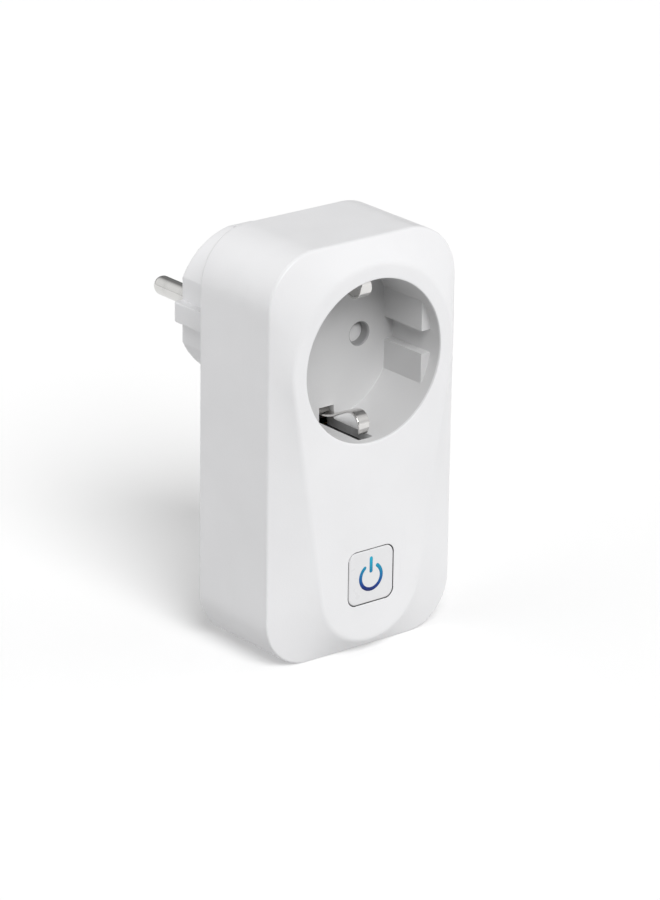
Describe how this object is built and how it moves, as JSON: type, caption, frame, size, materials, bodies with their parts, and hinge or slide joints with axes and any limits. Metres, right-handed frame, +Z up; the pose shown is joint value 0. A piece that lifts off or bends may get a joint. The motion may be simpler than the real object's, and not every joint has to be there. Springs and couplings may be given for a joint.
{
  "type": "smart plug",
  "caption": "White wall-plug adapter with a round earthed socket recess, a square illuminated power button and a two-pin earthed plug on its back.",
  "frame": {"origin": "centre of the bounding box at the level of the lower end, on which the object stands", "axes": "+Z up the long side of the body, from the button to the socket; +X to the right seen from the front; -Y is where the socket faces and +Y is where the plug's pins point"},
  "size_m": [0.0546, 0.071, 0.101],
  "materials": {
    "white_plastic": "satin",
    "well_plastic": "satin",
    "button_plastic": "satin",
    "carrier_plastic": "matte",
    "shutter_plastic": "satin",
    "light_plastic": "translucent",
    "nickel": "polished",
    "spring_steel": "bright",
    "brass": "bare",
    "gold_contact": "plated",
    "green_board": "solder mask",
    "blue_board": "solder mask",
    "black_plastic": "moulded",
    "relay_plastic": "moulded",
    "led_plastic": "clear",
    "copper_wire": "enamelled",
    "ferrite": "sintered",
    "capacitor_sleeve": "printed sleeve",
    "yellow_film": "moulded",
    "blue_epoxy": "dipped",
    "resistor_lacquer": "lacquered",
    "zinc_steel": "zinc plated"
  },
  "bodies": {
    "shell": {"front_cover": "white_plastic", "rear_housing": "white_plastic", "socket_well": "well_plastic", "contact_carrier": "carrier_plastic", "shutter_spring": "spring_steel", "line_contact": "brass", "neutral_contact": "brass", "earth_strap": "spring_steel", "upper_plug_earth": "nickel", "lower_plug_earth": "nickel", "line_pin": "nickel", "neutral_pin": "nickel", "line_busbar": "brass", "neutral_busbar": "brass", "tact_switch": "black_plastic", "status_led": "led_plastic", "control_board": "green_board", "radio_board": "blue_board", "radio_shield": "zinc_steel", "board_header": "gold_contact", "power_board": "green_board", "relay_base": "black_plastic", "relay_case": "relay_plastic", "relay_coil": "copper_wire", "relay_yoke": "zinc_steel", "relay_fixed_contact": "gold_contact", "transformer_core": "ferrite", "transformer_winding": "yellow_film", "bulk_capacitors": "capacitor_sleeve", "x_capacitor": "yellow_film", "varistor": "blue_epoxy", "fuse_resistor": "resistor_lacquer", "housing_screws": "zinc_steel", "well_screws": "zinc_steel", "board_screws": "zinc_steel"},
    "button": {"button_cap": "button_plastic", "light_guide": "light_plastic"},
    "switch_plunger": {"tact_plunger": "black_plastic"},
    "shutter_body": {"shutter": "shutter_plastic"},
    "upper_clip": {"upper_earth_clip": "nickel"},
    "lower_clip": {"lower_earth_clip": "nickel"},
    "armature": {"relay_armature": "zinc_steel"}
  },
  "joints": [
    {"name": "button_press", "type": "slide", "parent": "shell", "child": "button", "axis": [0, 1, 0], "range_m": [0, 0.0004], "stiffness_N_per_m": 4000, "springref_m": -0.0001},
    {"name": "switch_press", "type": "slide", "parent": "shell", "child": "switch_plunger", "axis": [0, 1, 0], "range_m": [0, 0.0004]},
    {"name": "shutter_turn", "type": "hinge", "parent": "shell", "child": "shutter_body", "pos_m": [0, -0.0142, 0.0726], "axis": [0, 1, 0], "range_deg": [0, 38], "stiffness_Nm_per_rad": 0.002, "springref_deg": -20.05},
    {"name": "upper_clip_flex", "type": "hinge", "parent": "shell", "child": "upper_clip", "pos_m": [0, -0.0139, 0.0892], "axis": [-1, 0, 0], "range_deg": [0, 6], "stiffness_Nm_per_rad": 0.6},
    {"name": "lower_clip_flex", "type": "hinge", "parent": "shell", "child": "lower_clip", "pos_m": [0, -0.0139, 0.056], "axis": [1, 0, 0], "range_deg": [0, 6], "stiffness_Nm_per_rad": 0.6},
    {"name": "relay_close", "type": "hinge", "parent": "shell", "child": "armature", "pos_m": [-0.01465, -0.0117, 0.03755], "axis": [1, 0, 0], "range_deg": [0, 4], "stiffness_Nm_per_rad": 0.02, "springref_deg": -2.86}
  ],
  "couplings": [
    {"joint": "switch_press", "follows": "button_press", "ratio": 1}
  ]
}
